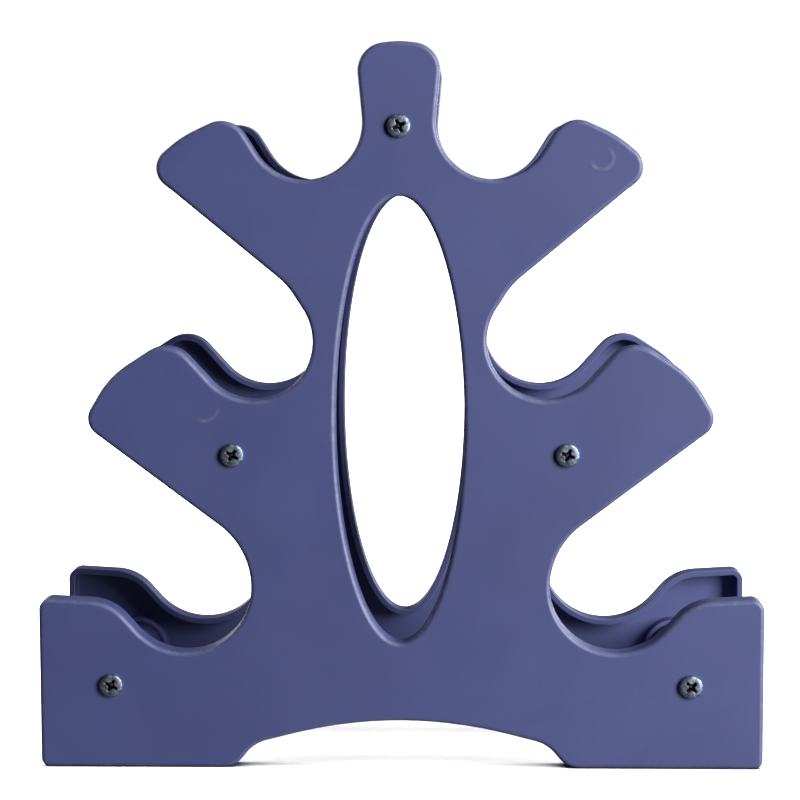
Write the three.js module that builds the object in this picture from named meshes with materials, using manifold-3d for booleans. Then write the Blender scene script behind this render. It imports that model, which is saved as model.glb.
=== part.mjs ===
// Dumbbell rack, tree pattern: two identical moulded trays held apart by five spacer tubes,
// with one pan-head screw through each tray into each end of every tube.
// Millimetres. +Z up, +X to the right, +Y from the front panel to the rear panel.
// The origin is on the floor, in the middle of the footprint.
import * as THREE from 'three';
import { mergeVertices } from 'three/addons/utils/BufferGeometryUtils.js';
import Module from 'manifold-3d';

// ---- driving dimensions ----
const RACK_DEPTH = 96;        // between the two outer faces
const PANEL_DEPTH = 12;       // height of the flange round each tray
const WALL = 3;               // wall of the trays
const EDGE_RADIUS = 1.8;      // rounding between face and flange
const GAP = 0.3;              // clearance between pieces that touch
const CHORD = 0.1;            // how far a facet of the outline may cut into its arc
const WIDEST_FACET = Math.PI / 12;
const SHORTEST_EDGE = 0.4;    // arcs that meet closer than this share one point
const FACETS = { opening: 60, collar: 32, screwHole: 16, tube: 36, bore: 12, screw: 20 };
const STEPS = { edge: 3, dome: 3, pocketOutside: 5, pocketInside: 3 };

// Right half of the outline, from the middle of the top clockwise to the middle of the base.
// Each entry is a circle that the outline runs round, x and z of its centre and its radius.
// Straight tangents join them. A bulge has material inside the circle, a hollow outside it.
const BULGE = -1;
const HOLLOW = 1;
const OUTLINE = [
  { x: 0, z: 299, r: 40, turn: BULGE },           // crown of the top knob
  { x: 6, z: 325.5, r: 13, turn: BULGE },         // shoulder of the knob
  { x: 43.5, z: 302.5, r: 26.5, turn: HOLLOW },   // upper cradle
  { x: 82, z: 290.5, r: 12.5, turn: BULGE },      // inner shoulder of the upper arm
  { x: 70.5, z: 249, r: 55, turn: BULGE },        // back of the upper arm
  { x: 102.5, z: 281.5, r: 9.5, turn: BULGE },    // tip of the upper arm
  { x: 78.5, z: 204, r: 35, turn: HOLLOW },       // neck under the upper arm
  { x: 68, z: 201.5, r: 27.5, turn: HOLLOW },     // middle cradle
  { x: 109.5, z: 184, r: 15, turn: BULGE },       // inner shoulder of the middle arm
  { x: 103.5, z: 154.5, r: 43, turn: BULGE },     // back of the middle arm
  { x: 136.5, z: 165.5, r: 9, turn: BULGE },      // tip of the middle arm
  { x: 106.5, z: 86, r: 36.5, turn: HOLLOW },     // neck under the middle arm
  { x: 101, z: 86, r: 31, turn: HOLLOW },         // bottom cradle
  { x: 147.5, z: 55.5, r: 24, turn: BULGE },      // inner shoulder of the foot
  { x: 164.5, z: 75, r: 5.5, turn: BULGE },       // upper corner of the foot
  { x: 166, z: 4, r: 4, turn: BULGE },            // lower corner of the foot
  { x: 84, z: 12, r: 12, turn: BULGE },           // inner corner of the foot
  { x: 58.5, z: -5, r: 18.5, turn: HOLLOW },      // end of the arch
  { x: 0, z: -182, r: 204.5, turn: HOLLOW },      // arch between the feet
];
const HOLE = { z: 164, halfWidth: 30, halfHeight: 104.3 };

const FIXINGS = [
  { name: 'top', x: 0, z: 300.5 },
  { name: 'mid_left', x: -78, z: 148.5 },
  { name: 'mid_right', x: 78, z: 148.5 },
  { name: 'base_left', x: -136, z: 39.5 },
  { name: 'base_right', x: 136, z: 39.5 },
];

const TUBE_RADIUS = 12.5;
const TUBE_WALL = 2.5;
const TUBE_WEB = 1.8;         // webs that carry the screw boss inside the tube
const BOSS_RADIUS = 5.5;
const COLLAR_WALL = 2.2;
const COLLAR_DEPTH = 10;      // from the outer face to the collar's end

const SHANK_RADIUS = 2.8;
const SHANK_LENGTH = 25;
const SCREW_HOLE_RADIUS = 3.3;
const BORE_RADIUS = SHANK_RADIUS + GAP;
const TIP_LENGTH = 2;
const HEAD = { radius: 6, side: 1.3, height: 3.9, fullness: 0.8 };
const RECESS = { reach: 3.3, bottomReach: 1.1, halfWidth: 0.75, bottomHalfWidth: 0.4, depth: 2.8 };

// ---- materials ----
function plastic() {
  return new THREE.MeshStandardMaterial({ color: 0x565c8c, roughness: 0.42, metalness: 0 });
}

function zincPlate() {
  return new THREE.MeshStandardMaterial({ color: 0x9aa0a6, roughness: 0.35, metalness: 1 });
}

// ---- outline ----
// Heading and length of the straight line that leaves circle a and joins circle b.
function tangentLine(a, b) {
  const distance = Math.hypot(b.x - a.x, b.z - a.z);
  const lean = Math.asin(THREE.MathUtils.clamp((b.turn * b.r - a.turn * a.r) / distance, -1, 1));
  return { heading: Math.atan2(b.z - a.z, b.x - a.x) - lean, length: distance * Math.cos(lean) };
}

// Signed angle from one heading to the next, going the way that the circle turns.
function sweepBetween(start, end, turn) {
  const full = 2 * Math.PI;
  const margin = Math.PI / 2;
  const along = turn * (end - start) + margin;
  return turn * (along - full * Math.floor(along / full) - margin);
}

// Points of the right half, moved into the material by inset. Every inset has the same points
// in the same order, so two insets can be joined by a strip.
function halfOutline(inset) {
  const points = [];
  let heading = 0;
  let firstStep = 0;
  OUTLINE.forEach((arc, i) => {
    const last = i === OUTLINE.length - 1;
    const line = last ? { heading: Math.PI, length: 0 } : tangentLine(arc, OUTLINE[i + 1]);
    const sweep = sweepBetween(heading, line.heading, arc.turn);
    const facet = Math.min(2 * Math.acos(1 - CHORD / arc.r), WIDEST_FACET);
    const steps = Math.max(1, Math.ceil(Math.abs(sweep) / facet));
    const radius = arc.r + arc.turn * inset;
    for (let k = firstStep; k <= steps; k += 1) {
      const angle = heading + (sweep * k) / steps;
      const x = arc.x + arc.turn * radius * Math.sin(angle);
      const z = arc.z - arc.turn * radius * Math.cos(angle);
      points.push(new THREE.Vector2(x, z));
    }
    heading = line.heading;
    firstStep = line.length < SHORTEST_EDGE ? 1 : 0;
  });
  return points;
}

// The whole outline, clockwise as seen from the front.
function outlineRing(inset) {
  const right = halfOutline(inset);
  right[0].x = 0;
  right[right.length - 1].x = 0;
  const left = right.slice(1, -1).reverse().map((p) => new THREE.Vector2(-p.x, p.y));
  return right.concat(left);
}

// The elliptical opening, counterclockwise as seen from the front.
function holeRing(inset) {
  const { z, halfWidth: a, halfHeight: b } = HOLE;
  const count = FACETS.opening;
  const ring = [];
  for (let k = 0; k < count; k += 1) {
    const t = (2 * Math.PI * k) / count;
    const normal = new THREE.Vector2(b * Math.cos(t), a * Math.sin(t)).normalize();
    const middle = new THREE.Vector2(a * Math.cos(t), z + b * Math.sin(t));
    ring.push(middle.addScaledVector(normal, inset));
  }
  return ring;
}

// A circle, counterclockwise as seen from the front.
function circleRing(centre, radius, count) {
  const ring = [];
  for (let k = 0; k < count; k += 1) {
    const t = (2 * Math.PI * k) / count;
    ring.push(new THREE.Vector2(centre.x + radius * Math.cos(t), centre.z + radius * Math.sin(t)));
  }
  return ring;
}

// Points of an arc about the origin, both ends included.
function arcPoints(radius, start, end, steps) {
  const points = [];
  for (let k = 0; k <= steps; k += 1) {
    const t = start + ((end - start) * k) / steps;
    points.push(new THREE.Vector2(radius * Math.cos(t), radius * Math.sin(t)));
  }
  return points;
}

// ---- mesh helpers ----
// Collects triangles of a body whose depth runs along +Y.
class Shell {
  constructor() {
    this.corners = [];
  }

  triangle(a, b, c) {
    this.corners.push(...a, ...b, ...c);
  }

  // Side walls through rings of equal length; each ring is { ring, depth }.
  walls(levels) {
    for (let i = 0; i + 1 < levels.length; i += 1) {
      const near = levels[i];
      const far = levels[i + 1];
      const count = near.ring.length;
      for (let k = 0; k < count; k += 1) {
        const m = (k + 1) % count;
        const a = [near.ring[k].x, near.depth, near.ring[k].y];
        const b = [near.ring[m].x, near.depth, near.ring[m].y];
        const c = [far.ring[m].x, far.depth, far.ring[m].y];
        const d = [far.ring[k].x, far.depth, far.ring[k].y];
        this.triangle(a, b, c);
        this.triangle(a, c, d);
      }
    }
  }

  // A flat face with holes, seen from -Y when towardFront, else from +Y.
  face(contour, holes, depth, towardFront) {
    const all = contour.concat(...holes);
    for (const [i, j, k] of THREE.ShapeUtils.triangulateShape(contour, holes)) {
      const corner = (n) => [all[n].x, depth, all[n].y];
      const area = THREE.ShapeUtils.area([all[i], all[j], all[k]]);
      const order = area > 0 === towardFront ? [i, j, k] : [k, j, i];
      this.triangle(...order.map(corner));
    }
  }

  geometry() {
    const geometry = new THREE.BufferGeometry();
    geometry.setAttribute('position', new THREE.Float32BufferAttribute(this.corners, 3));
    return mergeVertices(geometry, 1e-4);
  }
}

const wasm = await Module();
wasm.setup();

function toSolid(geometry) {
  const bare = geometry.clone();
  bare.deleteAttribute('normal');
  bare.deleteAttribute('uv');
  const merged = mergeVertices(bare, 1e-5);
  const vertProperties = new Float32Array(merged.attributes.position.array);
  const triVerts = new Uint32Array(merged.index.array);
  return new wasm.Manifold(new wasm.Mesh({ numProp: 3, vertProperties, triVerts }));
}

function toGeometry(solid) {
  const mesh = solid.getMesh();
  const geometry = new THREE.BufferGeometry();
  geometry.setAttribute('position', new THREE.Float32BufferAttribute(mesh.vertProperties, 3));
  geometry.setIndex(Array.from(mesh.triVerts));
  return geometry;
}

// ---- tray panel ----
// The ring round one fixing that seats a tube's end, rooted halfway into the tray's face.
function collarGeometry({ x, z }) {
  const seat = TUBE_RADIUS + GAP;
  const section = [
    new THREE.Vector2(seat, WALL / 2),
    new THREE.Vector2(seat + COLLAR_WALL, WALL / 2),
    new THREE.Vector2(seat + COLLAR_WALL, COLLAR_DEPTH),
    new THREE.Vector2(seat, COLLAR_DEPTH),
    new THREE.Vector2(seat, WALL / 2),
  ];
  const ring = new THREE.LatheGeometry(section, FACETS.collar);
  ring.translate(x, 0, z);
  return ring;
}

// Outer face on y = 0, open side toward +Y. The flange runs round the outline and the opening.
function panelSolid() {
  const shell = new Shell();
  const flangeLevels = [];
  for (let k = 0; k <= STEPS.edge; k += 1) {
    const angle = (k / STEPS.edge) * (Math.PI / 2);
    const inset = EDGE_RADIUS * (1 - Math.sin(angle));
    flangeLevels.push({ inset, depth: EDGE_RADIUS * (1 - Math.cos(angle)) });
  }
  flangeLevels.push({ inset: 0, depth: PANEL_DEPTH });
  flangeLevels.push({ inset: WALL, depth: PANEL_DEPTH });
  flangeLevels.push({ inset: WALL, depth: WALL });
  shell.walls(flangeLevels.map(({ inset, depth }) => ({ ring: outlineRing(inset), depth })));
  shell.walls(flangeLevels.map(({ inset, depth }) => ({ ring: holeRing(inset), depth })));

  const screwHoles = FIXINGS.map((fixing) => circleRing(fixing, SCREW_HOLE_RADIUS, FACETS.screwHole));
  for (const ring of screwHoles) {
    shell.walls([{ ring, depth: 0 }, { ring, depth: WALL }]);
  }
  shell.face(outlineRing(EDGE_RADIUS), [holeRing(EDGE_RADIUS), ...screwHoles], 0, true);
  shell.face(outlineRing(WALL), [holeRing(WALL), ...screwHoles], WALL, false);
  const tray = toSolid(shell.geometry());
  return FIXINGS.reduce((solid, fixing) => solid.add(toSolid(collarGeometry(fixing))), tray);
}

// ---- spacer tube ----
// A wall outside, a screw boss on the axis and four webs between them, the same all along.
function tubeGeometry() {
  const inner = TUBE_RADIUS - TUBE_WALL;
  const outerLean = Math.asin(TUBE_WEB / 2 / inner);
  const bossLean = Math.asin(TUBE_WEB / 2 / BOSS_RADIUS);
  const middle = { x: 0, z: 0 };
  const section = new THREE.Shape(circleRing(middle, TUBE_RADIUS, FACETS.tube));
  section.holes.push(new THREE.Path(circleRing(middle, BORE_RADIUS, FACETS.bore)));
  for (let quarter = 0; quarter < 4; quarter += 1) {
    const start = (quarter * Math.PI) / 2;
    const end = start + Math.PI / 2;
    const outside = arcPoints(inner, start + outerLean, end - outerLean, STEPS.pocketOutside);
    const inside = arcPoints(BOSS_RADIUS, end - bossLean, start + bossLean, STEPS.pocketInside);
    section.holes.push(new THREE.Path(outside.concat(inside)));
  }
  const length = RACK_DEPTH - 2 * (WALL + GAP);
  const tube = new THREE.ExtrudeGeometry(section, { depth: length, bevelEnabled: false });
  tube.translate(0, 0, -length / 2);
  tube.rotateX(-Math.PI / 2);
  return tube;
}

// ---- pan-head screw ----
// Underside of the head on y = 0, head toward -Y, shank toward +Y.
function screwBlank() {
  const profile = [new THREE.Vector2(0, -HEAD.height)];
  for (let k = 1; k <= STEPS.dome; k += 1) {
    const angle = (k / STEPS.dome) * (Math.PI / 2);
    const rise = (HEAD.height - HEAD.side) * Math.cos(angle) ** HEAD.fullness;
    profile.push(new THREE.Vector2(HEAD.radius * Math.sin(angle), -HEAD.side - rise));
  }
  profile.push(new THREE.Vector2(HEAD.radius, 0));
  profile.push(new THREE.Vector2(SHANK_RADIUS, 0));
  profile.push(new THREE.Vector2(SHANK_RADIUS, SHANK_LENGTH - TIP_LENGTH));
  profile.push(new THREE.Vector2(SHANK_RADIUS / 2, SHANK_LENGTH));
  profile.push(new THREE.Vector2(0, SHANK_LENGTH));
  return new THREE.LatheGeometry(profile, FACETS.screw);
}

// Tapered cross that is cut into the head.
function recessCutter() {
  const cross = (reach, half) => [
    [half, -reach], [half, -half], [reach, -half], [reach, half], [half, half], [half, reach],
    [-half, reach], [-half, half], [-reach, half], [-reach, -half], [-half, -half], [-half, -reach],
  ].map(([x, z]) => new THREE.Vector2(x, z));
  const above = 1;
  const top = { ring: cross(RECESS.reach, RECESS.halfWidth), depth: -HEAD.height - above };
  const bottom = cross(RECESS.bottomReach, RECESS.bottomHalfWidth);
  const floor = { ring: bottom, depth: RECESS.depth - HEAD.height };
  const shell = new Shell();
  shell.walls([floor, top]);
  shell.face(top.ring, [], top.depth, true);
  shell.face(floor.ring, [], floor.depth, false);
  return shell.geometry();
}

function screwGeometry() {
  return toGeometry(toSolid(screwBlank()).subtract(toSolid(recessCutter())));
}

// ---- assembly ----
function place(geometry, material, name, position, turned) {
  const mesh = new THREE.Mesh(geometry, material);
  mesh.name = name;
  mesh.position.copy(position);
  mesh.rotation.z = turned ? Math.PI : 0;
  return mesh;
}

const rack = new THREE.Group();
const half = RACK_DEPTH / 2;
const panel = toGeometry(panelSolid());
rack.add(place(panel, plastic(), 'front_panel', new THREE.Vector3(0, -half, 0), false));
rack.add(place(panel, plastic(), 'rear_panel', new THREE.Vector3(0, half, 0), true));

const tube = tubeGeometry();
const screw = screwGeometry();
for (const { name, x, z } of FIXINGS) {
  rack.add(place(tube, plastic(), `spacer_tube_${name}`, new THREE.Vector3(x, 0, z), false));
  const seat = half + GAP;
  rack.add(place(screw, zincPlate(), `screw_front_${name}`, new THREE.Vector3(x, -seat, z), false));
  rack.add(place(screw, zincPlate(), `screw_rear_${name}`, new THREE.Vector3(x, seat, z), true));
}

export default rack;
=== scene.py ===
# Dumbbell rack, tree pattern: the looks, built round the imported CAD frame.
# Every piece is placed from the frame's boxes. Lengths are millimetres, which MM turns into metres.
# The materials' and the stage's values are metres already, apart from the camera's lens and sensor.
import math

import bmesh
import bpy
from mathutils import Matrix, Vector
from mathutils.geometry import delaunay_2d_cdt


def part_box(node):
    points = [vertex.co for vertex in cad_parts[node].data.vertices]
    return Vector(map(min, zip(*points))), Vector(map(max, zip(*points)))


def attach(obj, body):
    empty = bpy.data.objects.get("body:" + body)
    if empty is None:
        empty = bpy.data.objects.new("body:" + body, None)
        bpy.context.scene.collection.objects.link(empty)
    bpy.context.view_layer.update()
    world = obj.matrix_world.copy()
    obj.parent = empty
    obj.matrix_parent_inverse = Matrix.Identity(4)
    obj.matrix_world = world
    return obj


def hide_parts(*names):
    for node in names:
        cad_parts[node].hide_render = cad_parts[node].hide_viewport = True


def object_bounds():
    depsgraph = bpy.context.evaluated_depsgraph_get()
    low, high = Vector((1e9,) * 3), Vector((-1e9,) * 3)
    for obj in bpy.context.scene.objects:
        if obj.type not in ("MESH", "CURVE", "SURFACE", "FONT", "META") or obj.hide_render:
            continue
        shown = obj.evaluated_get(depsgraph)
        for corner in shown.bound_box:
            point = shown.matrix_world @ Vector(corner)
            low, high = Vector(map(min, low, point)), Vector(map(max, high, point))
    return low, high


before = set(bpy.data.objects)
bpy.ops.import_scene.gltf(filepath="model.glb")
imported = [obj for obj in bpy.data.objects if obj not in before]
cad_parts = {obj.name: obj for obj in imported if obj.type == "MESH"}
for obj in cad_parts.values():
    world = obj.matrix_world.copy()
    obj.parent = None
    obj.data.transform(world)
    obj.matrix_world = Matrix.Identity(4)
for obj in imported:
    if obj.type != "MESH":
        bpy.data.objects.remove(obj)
cad_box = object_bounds()

MM = 0.001
ROOT = "root"

# ---- trays ----
PANEL_DEPTH = 12.0
WALL = 3.0
EDGE_RADIUS = 2.1
RIM_RADIUS = 0.55
FLOOR_RADIUS = 0.7
SUPPORT = 0.12               # width of the flat strips that keep the shading of flat faces flat
CHORD = 0.012                # how far a facet of the outline may cut into its arc
WIDEST_FACET = math.radians(5)
SHORTEST_EDGE = 0.4
CAP_GRID = 7.0               # spacing of the points inside the flat faces
CAP_CLEARANCE = 0.55         # how far they keep from the edges, as a share of that spacing
CAP_TOLERANCE = 1e-6         # points of a flat face that are closer than this are one
SHARP_ANGLE = math.radians(30)
OPENING_FACETS = 200
FILLET_STEPS = {"edge": 7, "rim": 4, "floor": 4}

# Right half of the outline, from the middle of the top clockwise to the middle of the base.
# Each entry is a circle that the outline runs round: x and z of its centre, its radius, and its turn.
BULGE = -1
HOLLOW = 1
OUTLINE = [
    (0, 299, 40, BULGE),          # crown of the top knob
    (6, 325.5, 13, BULGE),        # shoulder of the knob
    (43.5, 302.5, 26.5, HOLLOW),  # upper cradle
    (82, 290.5, 12.5, BULGE),     # inner shoulder of the upper arm
    (70.5, 249, 55, BULGE),       # back of the upper arm
    (102.5, 281.5, 9.5, BULGE),   # tip of the upper arm
    (78.5, 204, 35, HOLLOW),      # neck under the upper arm
    (68, 201.5, 27.5, HOLLOW),    # middle cradle
    (109.5, 184, 15, BULGE),      # inner shoulder of the middle arm
    (103.5, 154.5, 43, BULGE),    # back of the middle arm
    (136.5, 165.5, 9, BULGE),     # tip of the middle arm
    (106.5, 86, 36.5, HOLLOW),    # neck under the middle arm
    (101, 86, 31, HOLLOW),        # bottom cradle
    (147.5, 55.5, 24, BULGE),     # inner shoulder of the foot
    (164.5, 75, 5.5, BULGE),      # upper corner of the foot
    (166, 4, 4, BULGE),           # lower corner of the foot
    (84, 12, 12, BULGE),          # inner corner of the foot
    (58.5, -5, 18.5, HOLLOW),     # end of the arch
    (0, -182, 204.5, HOLLOW),     # arch between the feet
]
HOLE = {"z": 164, "half_width": 30, "half_height": 104.3}

# Faint arcs left by the mould on the outer face: centre, radius, the direction of an arc's middle,
# and how far round it goes (-1 is a point, 0 half a circle, 1 the whole of it).
MARKS = [
    {"x": 92.9, "z": 285.4, "radius": 5.2, "middle": math.radians(-50), "round": 0.5},
    {"x": -91, "z": 170.8, "radius": 6.3, "middle": math.radians(-62), "round": -0.35},
]
MARK_WIDTH = 2.4
MARK_HEIGHT = 0.08
MARK_FACETS = 48
MARK_FADE = 2.0              # how quickly an arc fades out at its ends
# Section of a mark: distance from its middle in half widths, and share of its height.
MARK_SECTION = [(1.4, 0.0), (1.0, 0.0), (0.5, 0.6), (0.0, 1.0), (-0.5, 0.6), (-1.0, 0.0), (-1.4, 0.0)]

# ---- fixings ----
FIXINGS = ["top", "mid_left", "mid_right", "base_left", "base_right"]
SCREW_HOLE_RADIUS = 3.3
SCREW_HOLE_FACETS = 32
TUBE_RADIUS = 12.5
TUBE_WALL = 2.5
TUBE_WEB = 1.8
TUBE_END_RADIUS = 0.5
TUBE_FACETS = 96
POCKET_STEPS = {"wall": 16, "boss": 8}
BOSS_RADIUS = 5.5
BORE_RADIUS = 3.1
SEAM_HEIGHT = 0.09           # the two moulding seams along a tube
SEAM_HALF_ANGLE = math.radians(1.6)
COLLAR_SEAT = 12.8           # inner radius of a collar
COLLAR_WALL = 2.2
COLLAR_DEPTH = 10.0
COLLAR_EDGE = 0.45
COLLAR_FLARE = 0.8
COLLAR_FACETS = 96

# ---- screws ----
SCREW_FACETS = 64
HEAD_RADIUS = 5.5
HEAD_HEIGHT = 2.4
HEAD_SIDE = 0.7
HEAD_SQUARENESS = 3.8        # 2 makes the dome an ellipse, more makes it flatter on top
HEAD_LIFT = 0.05             # clearance between a head and the face under it
# The head's rounded lower rim and its side: inset from its radius, and depth (in front is negative).
HEAD_RIM = [(0.4, 0.0), (0.1, -0.05), (0.0, -0.25), (0.0, -HEAD_SIDE)]
DOME_SHARES = [0.998, 0.99, 0.975, 0.95, 0.91, 0.86, 0.8]
DOME_TOP_SHARE = 0.74        # of the head's radius, where its rings begin to take the cross's shape
NECK_FLARE = 0.4             # how much wider than its core the shank is where it meets the head
SHANK_CORE = 2.15
SHANK_CREST = 2.8
THREAD_PITCH = 2.4
THREAD_ROWS = 10
THREAD_SHARPNESS = 3
TIP_LENGTH = 3.0
TIP_SHARE = 0.35             # of the shank's core radius, at the blunt end of the tip
TIP_POINT = 0.4              # height of the cone that closes the tip
RECESS_TOP = {"reach": 3.4, "half_width": 0.8, "flare": 0.25, "round_end": 0.6}
RECESS_FLOOR = {"reach": 1.9, "half_width": 0.4, "flare": 0.25, "round_end": 0.3}
RECESS_DEPTH = 2.4
RECESS_POINT = 0.35          # depth of the cone that closes the cross
RECESS_ROWS = 6
RECESS_SIDE_STEPS = 5
RECESS_SURROUND = 0.42       # how much wider than the cross the last of the dome's rings is
SURROUND_SHARES = [0.0, 0.35, 0.7, 1.0]     # steps from the last round ring to that one
# The cross's rounded upper lip: how much wider it is there, and how far under the dome.
RECESS_LIP = [(0.2, 0.0), (0.09, 0.02), (0.03, 0.07), (0.0, 0.16)]
# How far each cross is turned from upright, clockwise as seen from in front of its head.
FRONT_TURNS = {"top": -25, "mid_left": 32, "mid_right": 20, "base_left": 28, "base_right": 45}
REAR_TURNS = {"top": 12, "mid_left": -33, "mid_right": 51, "base_left": -8, "base_right": 24}

# ---- materials: colours are linear red, green and blue ----
PURPLE = (0.0445, 0.0562, 0.190)
# Lighter purple for the crests of edges and mould marks: rub wear on the edges, and a painted highlight on
# both.
PURPLE_WORN_AND_HIGHLIT = (0.12, 0.132, 0.26)
ZINC_DULL = (0.1, 0.13, 0.165)
ZINC_CLEAR = (0.36, 0.43, 0.55)
ZINC_WORN = (0.78, 0.82, 0.86)
# Painted shade for the bottom of a screw's cross.
CROSS_SHADE = (0.02, 0.022, 0.028)
PAPER_DARK = (0.86, 0.86, 0.86)
PAPER_LIGHT = (0.9, 0.9, 0.9)
PLASTIC_IOR = 1.49
SCRATCH_STRETCH = (400, 4000, 4000)

# ---- stage: lengths in metres, angles in degrees, power in watts ----
STAGE_RADIUS = 60.0
STAGE_FACETS = 64
CAMERA_PLACE = (0.02855, -1.0969, 0.2765)
CAMERA_PITCH = 5.566
CAMERA_ROLL = 0.161
CAMERA_YAW = 1.533
CAMERA_REACH = 200
LENS = 102.38                # lens and sensor in millimetres
SENSOR_WIDTH = 36
WORLD_STRENGTH = 1.05
LIGHT_TARGET = (0, 0, 0.17)
LIGHTS = {
    "key": {"azimuth": 51, "elevation": 15, "distance": 2.2, "size": (0.9, 1.5), "power": 94},
    "left_rim": {"azimuth": -104, "elevation": 26, "distance": 1.5, "size": (0.6, 0.6), "power": 4},
    "right_rim": {"azimuth": 140, "elevation": 58, "distance": 1.5, "size": (0.6, 0.6), "power": 4},
    "back_right": {"azimuth": 132, "elevation": 12, "distance": 1.5, "size": (0.7, 0.7), "power": 17},
    "back_left": {"azimuth": 222, "elevation": 12, "distance": 1.5, "size": (0.7, 0.7), "power": 8},
    "bounce": {"azimuth": 0, "elevation": -90, "distance": 0.169, "size": (0.9, 0.9), "power": 0.35},
}
FLOOR_LIGHT = 11             # watts for each square metre
FLOOR_LIGHT_SPREAD = 80


# ---- outline ----
def tangent_line(a, b):
    """Heading and length of the straight line that leaves circle a and joins circle b."""
    ax, az, ar, a_turn = a
    bx, bz, br, b_turn = b
    distance = math.hypot(bx - ax, bz - az)
    slope = max(-1.0, min(1.0, (b_turn * br - a_turn * ar) / distance))
    lean = math.asin(slope)
    return math.atan2(bz - az, bx - ax) - lean, distance * math.cos(lean)


def sweep_between(start, end, turn):
    """Signed angle from one heading to the next, going the way that the circle turns."""
    full = 2 * math.pi
    margin = math.pi / 2
    along = turn * (end - start) + margin
    return turn * (along - full * math.floor(along / full) - margin)


def half_outline(inset):
    """Points of the right half, moved into the material by inset.

    Every inset gives the same number of points, in the same order."""
    points = []
    heading = 0.0
    first_step = 0
    for i, arc in enumerate(OUTLINE):
        x, z, r, turn = arc
        last = i == len(OUTLINE) - 1
        next_heading, line_length = (math.pi, 0.0) if last else tangent_line(arc, OUTLINE[i + 1])
        sweep = sweep_between(heading, next_heading, turn)
        facet = min(2 * math.acos(1 - CHORD / r), WIDEST_FACET)
        steps = max(1, math.ceil(abs(sweep) / facet))
        radius = r + turn * inset
        for k in range(first_step, steps + 1):
            angle = heading + sweep * k / steps
            points.append((x + turn * radius * math.sin(angle), z - turn * radius * math.cos(angle)))
        heading = next_heading
        first_step = 1 if line_length < SHORTEST_EDGE else 0
    return points


def outline_ring(inset):
    """The whole outline, clockwise as seen from the front."""
    right = half_outline(inset)
    right[0] = (0.0, right[0][1])
    right[-1] = (0.0, right[-1][1])
    left = [(-x, z) for x, z in reversed(right[1:-1])]
    return right + left


def opening_ring(inset):
    """The elliptical opening, moved into the material by inset."""
    a, b, middle = HOLE["half_width"], HOLE["half_height"], HOLE["z"]
    ring = []
    for k in range(OPENING_FACETS):
        t = 2 * math.pi * k / OPENING_FACETS
        normal = Vector((b * math.cos(t), a * math.sin(t))).normalized()
        point = Vector((a * math.cos(t), middle + b * math.sin(t))) + normal * inset
        ring.append(tuple(point))
    return ring


def circle_ring(x, z, radius, count):
    angles = [2 * math.pi * k / count for k in range(count)]
    return [(x + radius * math.cos(t), z + radius * math.sin(t)) for t in angles]


def arc_points(radius, start, end, steps):
    angles = [start + (end - start) * k / steps for k in range(steps + 1)]
    return [(radius * math.cos(t), radius * math.sin(t)) for t in angles]


def quarter(steps):
    """Sine s and cosine c of angles from 0 to 90 degrees.

    An edge's value for rub wear and a painted highlight is 2 * s * c, which is 0 at its two ends and 1
    halfway."""
    angles = [math.pi / 2 * k / steps for k in range(steps + 1)]
    return [(math.sin(t), math.cos(t)) for t in angles]


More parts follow.
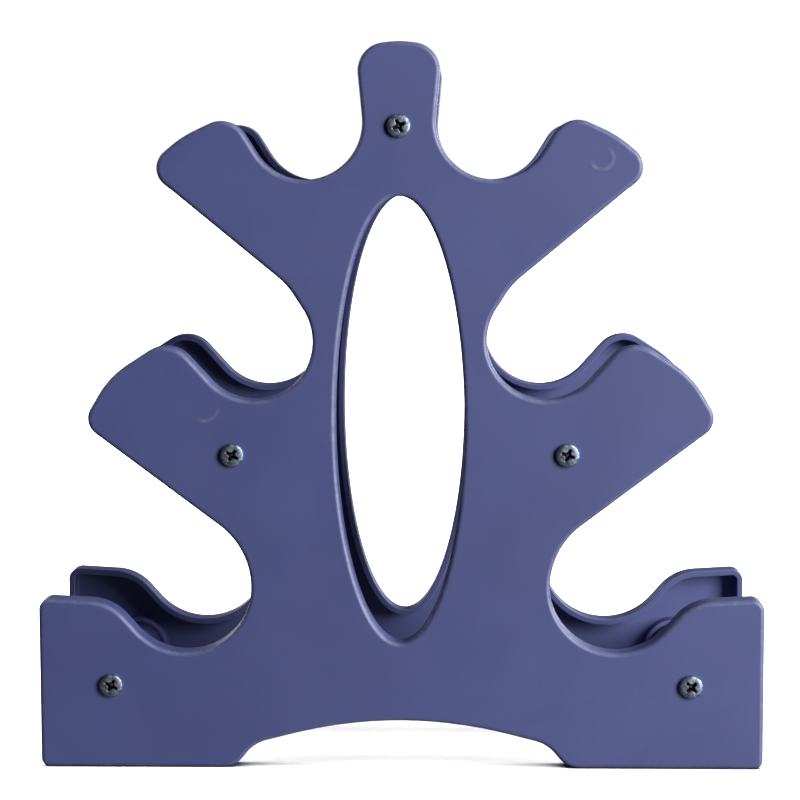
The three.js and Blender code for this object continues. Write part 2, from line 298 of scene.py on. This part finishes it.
# ---- mesh helpers ----
class Shell:
    """Collects the points and faces of a mesh. Rings lie across Y, and depth runs along +Y.

    Each point has a value for its material's painted wear and light: 1 on the crest of an edge of the
    plastic, where it paints rub wear and a painted highlight, and of a mould mark, where it paints a
    highlight;
    and 1 at the bottom of a screw's cross, whose walls it paints rubbed bright near the top and in painted
    shade deeper down."""

    def __init__(self):
        self.points = []
        self.faces = []
        self.wear_and_painted_light_values = {}

    def ring(self, outline, depth, wear_and_painted_light=0.0):
        """Adds a ring and returns the numbers of its points.

        Depth and the value for painted wear and light are one number for the whole ring, or a list with one
        for each point."""
        depths = depth if isinstance(depth, list) else [depth] * len(outline)
        wear_and_painted_light_values = wear_and_painted_light if isinstance(wear_and_painted_light, list) else [wear_and_painted_light] * len(outline)
        start = len(self.points)
        self.points += [(x, y, z) for (x, z), y in zip(outline, depths)]
        numbers = list(range(start, len(self.points)))
        self.wear_and_painted_light_values.update(zip(numbers, wear_and_painted_light_values))
        return numbers

    def strip(self, near, far):
        """Joins two rings of equal length with a band of faces."""
        count = len(near)
        for k in range(count):
            m = (k + 1) % count
            self.faces.append((near[k], near[m], far[m], far[k]))

    def loft(self, levels):
        """Joins rings of equal length one after the other. Each level holds what ring() takes."""
        rings = [self.ring(*level) for level in levels]
        for near, far in zip(rings, rings[1:]):
            self.strip(near, far)
        return rings

    def fan(self, ring, tip):
        """Closes a ring with triangles to one point."""
        self.points.append(tip)
        middle = len(self.points) - 1
        count = len(ring)
        for k in range(count):
            self.faces.append((ring[k], ring[(k + 1) % count], middle))

    def cap(self, contour, holes, grid):
        """A flat face between rings that are already there, with points inside it at the grid's spacing."""
        rings = [contour] + holes
        corners = [n for ring in rings for n in ring]
        flat = [Vector((self.points[n][0], self.points[n][2])) for n in corners]
        depth = self.points[contour[0]][1]
        edges = []
        for ring_start, ring in zip(ring_starts(rings), rings):
            count = len(ring)
            edges += [(ring_start + k, ring_start + (k + 1) % count) for k in range(count)]
        loops = [[Vector((self.points[n][0], self.points[n][2])) for n in ring] for ring in rings]
        inner = grid_points(loops, grid) if grid else []
        found = delaunay_2d_cdt(flat + inner, edges, [], 0, CAP_TOLERANCE)
        places, triangles, sources = found[0], found[2], found[3]
        numbers = {}
        for n, came_from in enumerate(sources):
            boundary = [s for s in came_from if s < len(corners)]
            if boundary:
                numbers[n] = corners[boundary[0]]
            else:
                numbers[n] = len(self.points)
                self.points.append((places[n].x, depth, places[n].y))
        for face in triangles:
            centre = sum((places[n] for n in face), Vector((0, 0))) / len(face)
            if inside(centre, loops):
                self.faces.append(tuple(numbers[n] for n in face))

    def to_object(self, name):
        """The mesh as an object in metres, with its normals outward."""
        mesh = bpy.data.meshes.new(name)
        mesh.from_pydata([Vector(p) * MM for p in self.points], [], self.faces)
        wear_and_painted_light = mesh.attributes.new("wear_and_painted_light", "FLOAT", "POINT")
        wear_and_painted_light.data.foreach_set("value", [self.wear_and_painted_light_values.get(n, 0.0) for n in range(len(self.points))])
        work = bmesh.new()
        work.from_mesh(mesh)
        lone = [v for v in work.verts if not v.link_faces]
        bmesh.ops.delete(work, geom=lone, context="VERTS")
        bmesh.ops.recalc_face_normals(work, faces=work.faces)
        if work.calc_volume(signed=True) < 0:
            bmesh.ops.reverse_faces(work, faces=work.faces)
        work.to_mesh(mesh)
        work.free()
        piece = bpy.data.objects.new(name, mesh)
        bpy.context.scene.collection.objects.link(piece)
        return piece


def ring_starts(rings):
    """The place of each ring's first point when the rings lie one after the other."""
    starts = [0]
    for ring in rings[:-1]:
        starts.append(starts[-1] + len(ring))
    return starts


def inside(point, loops):
    """Whether a point is in the material between loops, by counting crossings."""
    crossings = 0
    for loop in loops:
        for a, b in zip(loop, loop[1:] + loop[:1]):
            if (a.y > point.y) != (b.y > point.y):
                if point.x < a.x + (point.y - a.y) * (b.x - a.x) / (b.y - a.y):
                    crossings += 1
    return crossings % 2 == 1


def grid_points(loops, spacing):
    """A triangular grid of points in the material, kept clear of its edges."""
    xs = [p.x for p in loops[0]]
    zs = [p.y for p in loops[0]]
    edge_points = [p for loop in loops for p in loop]
    clear = spacing * CAP_CLEARANCE
    row_height = spacing * math.sqrt(3) / 2
    points = []
    rows = int((max(zs) - min(zs)) / row_height)
    columns = int((max(xs) - min(xs)) / spacing)
    for row in range(1, rows + 1):
        z = min(zs) + row * row_height
        near = [p for p in edge_points if abs(p.y - z) < clear]
        crossings = sorted(crossings_at(z, loops))
        shift = spacing / 2 if row % 2 else 0.0
        for column in range(columns + 1):
            x = min(xs) + column * spacing + shift
            if sum(1 for c in crossings if c < x) % 2 == 0:
                continue
            if all((p.x - x) ** 2 + (p.y - z) ** 2 > clear ** 2 for p in near):
                points.append(Vector((x, z)))
    return points


def crossings_at(z, loops):
    """The x of every place where a level line meets a loop."""
    found = []
    for loop in loops:
        for a, b in zip(loop, loop[1:] + loop[:1]):
            if (a.y > z) != (b.y > z):
                found.append(a.x + (z - a.y) * (b.x - a.x) / (b.y - a.y))
    return found


def finish_mesh(mesh):
    """Smooth shading, with sharp edges where faces meet at more than SHARP_ANGLE."""
    mesh.polygons.foreach_set("use_smooth", [True] * len(mesh.polygons))
    mesh.set_sharp_from_angle(angle=SHARP_ANGLE)
    mesh.update()


def applied(piece):
    """Turns a piece's modifiers into its mesh."""
    bpy.context.view_layer.update()
    evaluated = piece.evaluated_get(bpy.context.evaluated_depsgraph_get())
    mesh = bpy.data.meshes.new_from_object(evaluated)
    piece.modifiers.clear()
    piece.data = mesh
    mesh.name = piece.name


def dress(piece, material, slot_name, *nodes):
    """Gives a piece its material, and puts it on the frame in place of the CAD nodes."""
    piece.data.materials.clear()
    piece.data.materials.append(material)
    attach(piece, ROOT)
    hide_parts(*nodes)


def fixing_place(name):
    """x and z of a fixing, in millimetres."""
    low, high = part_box(f"spacer_tube_{name}")
    middle = (low + high) / 2 / MM
    return middle.x, middle.z


# ---- tray panel ----
def flange_profile():
    """Inset, depth and painted wear-and-highlight value along the flange's section: outer face, rim, then
    the tray's floor.
    """
    profile = [(EDGE_RADIUS + SUPPORT, 0.0, 0.0)]
    for s, c in quarter(FILLET_STEPS["edge"]):
        profile.append((EDGE_RADIUS * (1 - s), EDGE_RADIUS * (1 - c), 2 * s * c))
    profile.append((0.0, EDGE_RADIUS + SUPPORT, 0.0))
    profile.append((0.0, PANEL_DEPTH - RIM_RADIUS - SUPPORT, 0.0))
    for s, c in quarter(FILLET_STEPS["rim"]):
        profile.append((RIM_RADIUS * (1 - c), PANEL_DEPTH - RIM_RADIUS * (1 - s), 2 * s * c))
    profile.append((RIM_RADIUS + SUPPORT, PANEL_DEPTH, 0.0))
    profile.append((WALL - RIM_RADIUS - SUPPORT, PANEL_DEPTH, 0.0))
    for s, c in quarter(FILLET_STEPS["rim"]):
        profile.append((WALL - RIM_RADIUS * (1 - s), PANEL_DEPTH - RIM_RADIUS * (1 - c), 2 * s * c))
    profile.append((WALL, PANEL_DEPTH - RIM_RADIUS - SUPPORT, 0.0))
    profile.append((WALL, WALL + FLOOR_RADIUS + SUPPORT, 0.0))
    for s, c in quarter(FILLET_STEPS["floor"]):
        profile.append((WALL + FLOOR_RADIUS * (1 - c), WALL + FLOOR_RADIUS * (1 - s), 0.0))
    profile.append((WALL + FLOOR_RADIUS + SUPPORT, WALL, 0.0))
    return profile


def mark_rings(shell, mark):
    """A low ridge that fades out round a ring. Returns its outer ring, which the face is joined to."""
    rings = []
    for offset, share in MARK_SECTION:
        radius = mark["radius"] + offset * MARK_WIDTH / 2
        outline = circle_ring(mark["x"], mark["z"], radius, MARK_FACETS)
        depths = []
        wear_and_painted_light_values = []
        for k in range(MARK_FACETS):
            lean = math.cos(2 * math.pi * k / MARK_FACETS - mark["middle"])
            fade = min(1.0, max(0.0, MARK_FADE * (mark["round"] + lean)))
            depths.append(-MARK_HEIGHT * share * fade)
            # The crest is painted lighter along with the ridge's height: a painted highlight.
            wear_and_painted_light_values.append(share * fade)
        rings.append((outline, depths, wear_and_painted_light_values))
    made = shell.loft(rings)
    shell.cap(made[-1], [], 0)
    return made[0]


def tray_mesh():
    """The tray without its collars: outer face on y = 0, open side toward +Y."""
    shell = Shell()
    profile = flange_profile()
    outside = shell.loft([(outline_ring(inset), depth, wear_and_painted_light) for inset, depth, wear_and_painted_light in profile])
    opening = shell.loft([(opening_ring(inset), depth, wear_and_painted_light) for inset, depth, wear_and_painted_light in profile])
    face_rings = []
    floor_rings = []
    for name in FIXINGS:
        outline = circle_ring(*fixing_place(name), SCREW_HOLE_RADIUS, SCREW_HOLE_FACETS)
        face_ring, floor_ring = shell.loft([(outline, 0.0), (outline, WALL)])
        face_rings.append(face_ring)
        floor_rings.append(floor_ring)
    marks = [mark_rings(shell, mark) for mark in MARKS]
    shell.cap(outside[0], [opening[0]] + face_rings + marks, CAP_GRID)
    shell.cap(outside[-1], [opening[-1]] + floor_rings, CAP_GRID)
    return shell


def collar_mesh(x, z):
    """The ring that seats a tube's end, rooted halfway into the tray's floor."""
    outer = COLLAR_SEAT + COLLAR_WALL
    root = WALL / 2
    section = [(COLLAR_SEAT, root, 0.0)]
    # The rounded lip's value paints rub wear and a painted highlight.
    for s, c in quarter(FILLET_STEPS["rim"]):
        radius = COLLAR_SEAT + COLLAR_EDGE * (1 - c)
        section.append((radius, COLLAR_DEPTH - COLLAR_EDGE * (1 - s), 2 * s * c))
    for s, c in quarter(FILLET_STEPS["rim"]):
        radius = outer - COLLAR_EDGE * (1 - s)
        section.append((radius, COLLAR_DEPTH - COLLAR_EDGE * (1 - c), 2 * s * c))
    section.append((outer, WALL + COLLAR_FLARE, 0.0))
    section.append((outer + COLLAR_FLARE / 2, WALL, 0.0))
    section.append((outer + COLLAR_FLARE / 2, root, 0.0))
    shell = Shell()
    rings = shell.loft([(circle_ring(x, z, r, COLLAR_FACETS), depth, wear_and_painted_light) for r, depth, wear_and_painted_light in section])
    shell.strip(rings[-1], rings[0])
    return shell


def panel_template():
    """One whole tray panel with its collars joined on."""
    panel = tray_mesh().to_object("panel_template")
    for name in FIXINGS:
        collar = collar_mesh(*fixing_place(name)).to_object(f"collar_{name}")
        join = panel.modifiers.new(name, "BOOLEAN")
        join.operation = "UNION"
        join.solver = "MANIFOLD"
        join.object = collar
    applied(panel)
    for name in FIXINGS:
        bpy.data.objects.remove(bpy.data.objects[f"collar_{name}"])
    finish_mesh(panel.data)
    return panel


def make_panels(material):
    """The same moulding twice, the rear one turned round so that both open sides face each other."""
    template = panel_template()
    for name, turned in (("front_panel", False), ("rear_panel", True)):
        low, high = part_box(name)
        if turned:
            place = Matrix.Translation((0, high.y, 0)) @ Matrix.Rotation(math.pi, 4, "Z")
        else:
            place = Matrix.Translation((0, low.y, 0))
        mesh = template.data.copy()
        mesh.transform(place)
        panel = bpy.data.objects.new(f"{name}_moulding", mesh)
        bpy.context.scene.collection.objects.link(panel)
        dress(panel, material, "panel_plastic", name)
    bpy.data.objects.remove(template)


# ---- spacer tube ----
def seam_rise(angle):
    """How far the moulding seams, on the tube's left and right, stand out at an angle."""
    lean = abs(math.remainder(angle, math.pi))
    rise = max(0.0, 1 - lean / SEAM_HALF_ANGLE)
    return SEAM_HEIGHT * rise


def tube_ring(inset):
    """The tube's outside, with extra points at its seams."""
    angles = {2 * math.pi * k / TUBE_FACETS for k in range(TUBE_FACETS)}
    for side in (0, math.pi):
        for share in (-1.0, -0.5, 0.5, 1.0):
            angles.add((side + share * SEAM_HALF_ANGLE) % (2 * math.pi))
    ring = []
    for t in sorted(angles):
        radius = TUBE_RADIUS - inset + seam_rise(t)
        ring.append((radius * math.cos(t), radius * math.sin(t)))
    return ring


def pocket_ring(quarter_number):
    """One of the four hollows between the wall and the screw boss."""
    inner = TUBE_RADIUS - TUBE_WALL
    outer_lean = math.asin(TUBE_WEB / 2 / inner)
    boss_lean = math.asin(TUBE_WEB / 2 / BOSS_RADIUS)
    start = quarter_number * math.pi / 2 + math.pi / 4
    end = start + math.pi / 2
    wall_side = arc_points(inner, start + outer_lean, end - outer_lean, POCKET_STEPS["wall"])
    boss_side = arc_points(BOSS_RADIUS, end - boss_lean, start + boss_lean, POCKET_STEPS["boss"])
    return wall_side + boss_side


def tube_mesh(length):
    """A tube about the Y axis: wall, screw boss, and four webs between them."""
    shell = Shell()
    half = length / 2
    levels = []
    # The rounded ends' value paints rub wear and a painted highlight.
    for s, c in quarter(FILLET_STEPS["rim"]):
        levels.append((tube_ring(TUBE_END_RADIUS * (1 - s)), -half + TUBE_END_RADIUS * (1 - c), 2 * s * c))
    levels += [(outline, -depth, wear_and_painted_light) for outline, depth, wear_and_painted_light in reversed(levels)]
    outside = shell.loft(levels)
    holes = [circle_ring(0, 0, BORE_RADIUS, SCREW_HOLE_FACETS)]
    holes += [pocket_ring(number) for number in range(4)]
    ends = [shell.loft([(outline, -half), (outline, half)]) for outline in holes]
    shell.cap(outside[0], [near for near, far in ends], 0)
    shell.cap(outside[-1], [far for near, far in ends], 0)
    return shell


def make_tubes(material):
    """One tube for each fixing, with its ends in the panels' collars."""
    for name in FIXINGS:
        node = f"spacer_tube_{name}"
        low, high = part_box(node)
        middle = (low + high) / 2
        tube = tube_mesh((high.y - low.y) / MM).to_object(f"{node}_moulding")
        tube.data.transform(Matrix.Translation(middle))
        finish_mesh(tube.data)
        dress(tube, material, "tube_plastic", node)


# ---- pan-head screw ----
def dome_depth(radius, height):
    """How far a point of the dome lies in front of the head's underside."""
    share = min(1.0, radius / HEAD_RADIUS) ** HEAD_SQUARENESS
    return HEAD_SIDE + (height - HEAD_SIDE) * (1 - share) ** (1 / HEAD_SQUARENESS)


def cross_ring(reach, half_width, flare, round_end, grow=0.0):
    """A cross with flared corners and round ends, with SCREW_FACETS points."""
    end_steps = SCREW_FACETS // 4 - 2 * RECESS_SIDE_STEPS
    reach = reach + grow
    half_width = half_width + grow
    corner = half_width + flare
    neck = reach - round_end

    def width_at(x):
        return half_width + flare * ((neck - x) / (neck - corner)) ** 3

    arm = []
    for k in range(RECESS_SIDE_STEPS):
        x = corner + (neck - corner) * k / RECESS_SIDE_STEPS
        arm.append((x, -width_at(x)))
    for k in range(end_steps):
        t = -math.pi / 2 + math.pi * k / end_steps
        arm.append((neck + round_end * math.cos(t), half_width * math.sin(t)))
    for k in range(RECESS_SIDE_STEPS):
        x = neck - (neck - corner) * k / RECESS_SIDE_STEPS
        arm.append((x, width_at(x)))
    ring = []
    for number in range(4):
        c = round(math.cos(number * math.pi / 2))
        s = round(math.sin(number * math.pi / 2))
        ring += [(x * c - z * s, x * s + z * c) for x, z in arm]
    return ring


def round_ring(radius):
    """A circle whose points match those of cross_ring in number and direction."""
    angles = [2 * math.pi * k / SCREW_FACETS - math.pi / 4 for k in range(SCREW_FACETS)]
    return [(radius * math.cos(t), radius * math.sin(t)) for t in angles]


def mixed(a, b, share):
    """The outline that lies the given share of the way from a to b."""
    return [(p[0] + (q[0] - p[0]) * share, p[1] + (q[1] - p[1]) * share) for p, q in zip(a, b)]


def on_dome(outline, height, sunk=0.0):
    """An outline laid on the dome, or sunk into it."""
    return outline, [sunk - dome_depth(math.hypot(x, z), height) for x, z in outline]


def thread_levels(length):
    """Rings along the threaded shank, from its tip to the head."""
    levels = []
    spacing = THREAD_PITCH / THREAD_ROWS
    rows = int(length / spacing)
    for row in range(rows + 1):
        depth = length - row * spacing
        taper = min(1.0, (length - depth) / TIP_LENGTH)
        runout = min(1.0, depth / THREAD_PITCH)
        outline = []
        for x, z in round_ring(1.0):
            turn = math.atan2(z, x) / (2 * math.pi)
            wave = 1 - abs(2 * ((depth / THREAD_PITCH + turn) % 1.0) - 1)
            crest = wave ** THREAD_SHARPNESS
            radius = SHANK_CORE * (TIP_SHARE + (1 - TIP_SHARE) * taper)
            radius += (SHANK_CREST - SHANK_CORE) * crest * taper * runout
            outline.append((x * radius, z * radius))
        levels.append((outline, depth))
    return levels


def screw_mesh(height, length):
    """Underside of the head on y = 0, head toward -Y, shank toward +Y."""
    shell = Shell()
    levels = thread_levels(length)
    levels.append((round_ring(SHANK_CORE + NECK_FLARE), 0.0))
    for inset, depth in HEAD_RIM:
        levels.append((round_ring(HEAD_RADIUS - inset), depth))
    for share in DOME_SHARES:
        levels.append(on_dome(round_ring(HEAD_RADIUS * share), height))
    outer = round_ring(HEAD_RADIUS * DOME_TOP_SHARE)
    wide = cross_ring(**RECESS_TOP, grow=RECESS_SURROUND)
    for share in SURROUND_SHARES:
        levels.append(on_dome(mixed(outer, wide, share), height))
    for grow, sunk in RECESS_LIP:
        levels.append(on_dome(cross_ring(**RECESS_TOP, grow=grow), height, sunk))
    top = cross_ring(**RECESS_TOP)
    bottom = cross_ring(**RECESS_FLOOR)
    floor = RECESS_DEPTH - height
    start = levels[-1][1]
    for row in range(1, RECESS_ROWS + 1):
        share = row / RECESS_ROWS
        depths = [y + (floor - y) * share for y in start]
        # The share down the cross paints the driver's wear near its top and painted shade deeper down.
        levels.append((mixed(top, bottom, share), depths, share))
    rings = shell.loft(levels)
    shell.fan(rings[0], (0.0, length + TIP_POINT, 0.0))
    shell.fan(rings[-1], (0.0, floor + RECESS_POINT, 0.0))
    return shell


def make_screws(material):
    """Five screws in each panel, whose heads face outward."""
    panels = {"front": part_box("front_panel")[0].y, "rear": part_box("rear_panel")[1].y}
    turns = {"front": FRONT_TURNS, "rear": REAR_TURNS}
    for side, facing in (("front", 0.0), ("rear", math.pi)):
        for name in FIXINGS:
            node = f"screw_{side}_{name}"
            low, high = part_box(node)
            outward = -1 if side == "front" else 1
            seat = panels[side] + outward * HEAD_LIFT * MM
            end = high.y if side == "front" else low.y
            middle = (low + high) / 2
            screw = screw_mesh(HEAD_HEIGHT, abs(end - seat) / MM).to_object(f"{node}_steel")
            finish_mesh(screw.data)
            turn = Matrix.Rotation(math.radians(turns[side][name]), 4, "Y")
            spot = Matrix.Translation((middle.x, seat, middle.z))
            screw.matrix_world = spot @ Matrix.Rotation(facing, 4, "Z") @ turn
            dress(screw, material, "screw_zinc", node)


# ---- materials ----
class Nodes:
    """Short calls for making a material's node tree."""

    def __init__(self, name):
        self.material = bpy.data.materials.new(name)
        self.material.use_nodes = True
        self.tree = self.material.node_tree
        self.tree.nodes.clear()
        self.output = self.add("ShaderNodeOutputMaterial")
        self.shader = self.add("ShaderNodeBsdfPrincipled")
        self.link(self.shader.outputs["BSDF"], self.output.inputs["Surface"])

    def add(self, kind, **settings):
        node = self.tree.nodes.new(kind)
        for key, value in settings.items():
            setattr(node, key, value)
        return node

    def link(self, source, target):
        self.tree.links.new(source, target)

    def noise(self, coordinates, scale, detail=2.0, roughness=0.5):
        node = self.add("ShaderNodeTexNoise")
        node.inputs["Scale"].default_value = scale
        node.inputs["Detail"].default_value = detail
        node.inputs["Roughness"].default_value = roughness
        self.link(coordinates, node.inputs["Vector"])
        return node.outputs["Fac"]

    def spread(self, value, low, high, to_low=0.0, to_high=1.0):
        """Maps a value from low..high to to_low..to_high, smoothly and clamped."""
        node = self.add("ShaderNodeMapRange", interpolation_type="SMOOTHSTEP")
        node.inputs["From Min"].default_value = low
        node.inputs["From Max"].default_value = high
        node.inputs["To Min"].default_value = to_low
        node.inputs["To Max"].default_value = to_high
        self.link(value, node.inputs["Value"])
        return node.outputs["Result"]

    def mix(self, factor, a, b):
        """Mixes two colours. Each is a colour or an output."""
        node = self.add("ShaderNodeMix", data_type="RGBA")
        self.link(factor, node.inputs["Factor"])
        for colour, socket in ((a, node.inputs["A"]), (b, node.inputs["B"])):
            if isinstance(colour, tuple):
                socket.default_value = (*colour, 1.0)
            else:
                self.link(colour, socket)
        return node.outputs["Result"]

    def math(self, operation, a, b):
        node = self.add("ShaderNodeMath", operation=operation)
        for value, socket in zip((a, b), node.inputs):
            if isinstance(value, (int, float)):
                socket.default_value = value
            else:
                self.link(value, socket)
        return node.outputs["Value"]

    def bump(self, height, distance, strength, normal=None):
        node = self.add("ShaderNodeBump")
        node.inputs["Distance"].default_value = distance
        node.inputs["Strength"].default_value = strength
        self.link(height, node.inputs["Height"])
        if normal is not None:
            self.link(normal, node.inputs["Normal"])
        return node.outputs["Normal"]

    def coordinates(self, stretch=(1.0, 1.0, 1.0)):
        source = self.add("ShaderNodeTexCoord")
        mapping = self.add("ShaderNodeMapping")
        mapping.inputs["Scale"].default_value = stretch
        self.link(source.outputs["Object"], mapping.inputs["Vector"])
        return mapping.outputs["Vector"]


def shaded(colour, share):
    """A colour made darker by a share under 1, or lighter by one above it."""
    return tuple(c * share for c in colour)


def moulded_plastic(name, colour, edge_colour):
    """Satin moulded plastic: a fine spark-eroded grain, faint flow clouds, and edges rubbed lighter. The
    same lighter colour is a painted highlight on the edges and on the mould marks.
    """
    nodes = Nodes(name)
    place = nodes.coordinates()
    clouds = nodes.spread(nodes.noise(place, scale=14, detail=3), low=0.3, high=0.7)
    tint = nodes.mix(clouds, shaded(colour, 0.94), shaded(colour, 1.05))
    speckle = nodes.noise(place, scale=900, detail=2)
    speckle = nodes.spread(speckle, low=0.35, high=0.65, to_low=0.0, to_high=0.35)
    tint = nodes.mix(speckle, tint, shaded(colour, 0.9))
    # Edges and mould marks turn lighter: rub wear on the edges, and a painted highlight on both.
    edge = nodes.add("ShaderNodeAttribute", attribute_name="wear_and_painted_light").outputs["Fac"]
    patchy = nodes.noise(place, scale=260, detail=5, roughness=0.65)
    patchy = nodes.spread(patchy, low=0.35, high=0.7, to_low=0.3, to_high=1.0)
    wear_and_highlight = nodes.math("MULTIPLY", edge, patchy)
    nodes.link(nodes.mix(wear_and_highlight, tint, edge_colour), nodes.shader.inputs["Base Color"])
    rough = nodes.noise(place, scale=30, detail=4, roughness=0.6)
    rough = nodes.spread(rough, low=0.25, high=0.75, to_low=0.54, to_high=0.62)
    polish = nodes.math("MULTIPLY", wear_and_highlight, 0.08)
    rough = nodes.math("SUBTRACT", rough, polish)
    nodes.link(rough, nodes.shader.inputs["Roughness"])
    grain = nodes.noise(place, scale=1500, detail=2, roughness=0.6)
    grain = nodes.bump(grain, distance=0.00004, strength=0.35)
    waves = nodes.noise(place, scale=18, detail=1)
    waves = nodes.bump(waves, distance=0.0004, strength=0.12, normal=grain)
    nodes.link(waves, nodes.shader.inputs["Normal"])
    nodes.shader.inputs["IOR"].default_value = PLASTIC_IOR
    nodes.shader.inputs["Specular IOR Level"].default_value = 0.9
    return nodes.material


def zinc_plate(name):
    """Dull zinc plating: cloudy grey metal with fine scratches. The cross is bright where the driver has
    rubbed its walls, and painted dark at its bottom as shade in the recess."""
    nodes = Nodes(name)
    place = nodes.coordinates()
    clouds = nodes.noise(place, scale=650, detail=4, roughness=0.6)
    metal = nodes.mix(nodes.spread(clouds, low=0.34, high=0.66), ZINC_DULL, ZINC_CLEAR)
    depth = nodes.add("ShaderNodeAttribute", attribute_name="wear_and_painted_light").outputs["Fac"]
    driven = nodes.spread(depth, low=0.02, high=0.2)
    # Painted shade: the cross darkens toward near black as it deepens.
    cross_shade_mask = nodes.spread(depth, low=0.12, high=0.5)
    metal = nodes.mix(driven, metal, ZINC_WORN)
    nodes.link(nodes.mix(cross_shade_mask, metal, CROSS_SHADE), nodes.shader.inputs["Base Color"])
    rough = nodes.noise(place, scale=900, detail=3)
    rough = nodes.spread(rough, low=0.3, high=0.7, to_low=0.46, to_high=0.6)
    polish = nodes.math("MULTIPLY", driven, 0.16)
    rough = nodes.math("SUBTRACT", rough, polish)
    nodes.link(rough, nodes.shader.inputs["Roughness"])
    scratches = nodes.noise(nodes.coordinates(SCRATCH_STRETCH), scale=1, detail=3, roughness=0.7)
    scratches = nodes.bump(scratches, distance=0.00003, strength=0.4)
    nodes.link(scratches, nodes.shader.inputs["Normal"])
    nodes.shader.inputs["Metallic"].default_value = 1.0
    return nodes.material


def floor_paper():
    """Pale studio paper with a barely visible tooth."""
    nodes = Nodes("pale_paper")
    place = nodes.coordinates()
    tooth = nodes.spread(nodes.noise(place, scale=300, detail=3), low=0.3, high=0.7)
    nodes.link(nodes.mix(tooth, PAPER_DARK, PAPER_LIGHT), nodes.shader.inputs["Base Color"])
    nodes.shader.inputs["Roughness"].default_value = 1.0
    nodes.shader.inputs["Specular IOR Level"].default_value = 0.0
    return nodes.material


# ---- stage, lights and camera ----
def make_floor():
    """A wide sheet of paper under the rack, which neither lights it nor shows in its gloss."""
    mesh = bpy.data.meshes.new("floor")
    work = bmesh.new()
    bmesh.ops.create_circle(work, cap_ends=True, segments=STAGE_FACETS, radius=STAGE_RADIUS)
    work.to_mesh(mesh)
    work.free()
    floor = bpy.data.objects.new("floor", mesh)
    floor.location.z = cad_box[0].z
    bpy.context.scene.collection.objects.link(floor)
    mesh.materials.append(floor_paper())
    floor.visible_diffuse = False
    floor.visible_glossy = False
    return floor


def make_camera():
    data = bpy.data.cameras.new("camera")
    data.lens = LENS
    data.sensor_width = SENSOR_WIDTH
    data.clip_end = CAMERA_REACH
    camera = bpy.data.objects.new("camera", data)
    camera.location = CAMERA_PLACE
    turn = (90 - CAMERA_PITCH, CAMERA_ROLL, CAMERA_YAW)
    camera.rotation_euler = [math.radians(degrees) for degrees in turn]
    bpy.context.scene.collection.objects.link(camera)
    bpy.context.scene.camera = camera


def make_world():
    """A white background that only the camera sees."""
    world = bpy.data.worlds.new("studio")
    world.use_nodes = True
    background = world.node_tree.nodes["Background"]
    background.inputs["Color"].default_value = (1, 1, 1, 1)
    background.inputs["Strength"].default_value = WORLD_STRENGTH
    bpy.context.scene.world = world
    world.cycles_visibility.diffuse = False
    world.cycles_visibility.glossy = False


def area_light(name, azimuth, elevation, distance, size, power):
    """A softbox that faces the rack. Azimuth 0 is in front, and 90 is at the right as seen from there."""
    data = bpy.data.lights.new(name, "AREA")
    data.shape = "RECTANGLE"
    data.size, data.size_y = size
    data.energy = power
    around = math.radians(azimuth)
    up = math.radians(elevation)
    toward = Vector((math.sin(around) * math.cos(up), -math.cos(around) * math.cos(up), math.sin(up)))
    light = bpy.data.objects.new(name, data)
    light.location = Vector(LIGHT_TARGET) + toward * distance
    light.rotation_euler = (-toward).to_track_quat("-Z", "Y").to_euler()
    light.visible_camera = False
    bpy.context.scene.collection.objects.link(light)
    return light


def floor_light(floor):
    """A broad light from above that reaches only the floor, which keeps the paper white up to the rack."""
    data = bpy.data.lights.new("floor_wash", "SUN")
    data.energy = FLOOR_LIGHT
    data.angle = math.radians(FLOOR_LIGHT_SPREAD)
    light = bpy.data.objects.new("floor_wash", data)
    bpy.context.scene.collection.objects.link(light)
    reached = bpy.data.collections.new("floor_only")
    reached.objects.link(floor)
    light.light_linking.receiver_collection = reached


def make_lights(floor):
    """The softboxes light the rack alone, and the wash lights the floor alone."""
    spared = bpy.data.collections.new("floor_spared")
    spared.objects.link(floor)
    spared.collection_objects[0].light_linking.link_state = "EXCLUDE"
    for name, settings in LIGHTS.items():
        area_light(name, **settings).light_linking.receiver_collection = spared
    floor_light(floor)


make_camera()
make_world()
make_lights(make_floor())
make_panels(moulded_plastic("panel_plastic_purple", PURPLE, PURPLE_WORN_AND_HIGHLIT))
make_tubes(moulded_plastic("tube_plastic_purple", PURPLE, PURPLE_WORN_AND_HIGHLIT))
make_screws(zinc_plate("screw_zinc_grey"))
bpy.context.scene.view_settings.view_transform = "Standard"
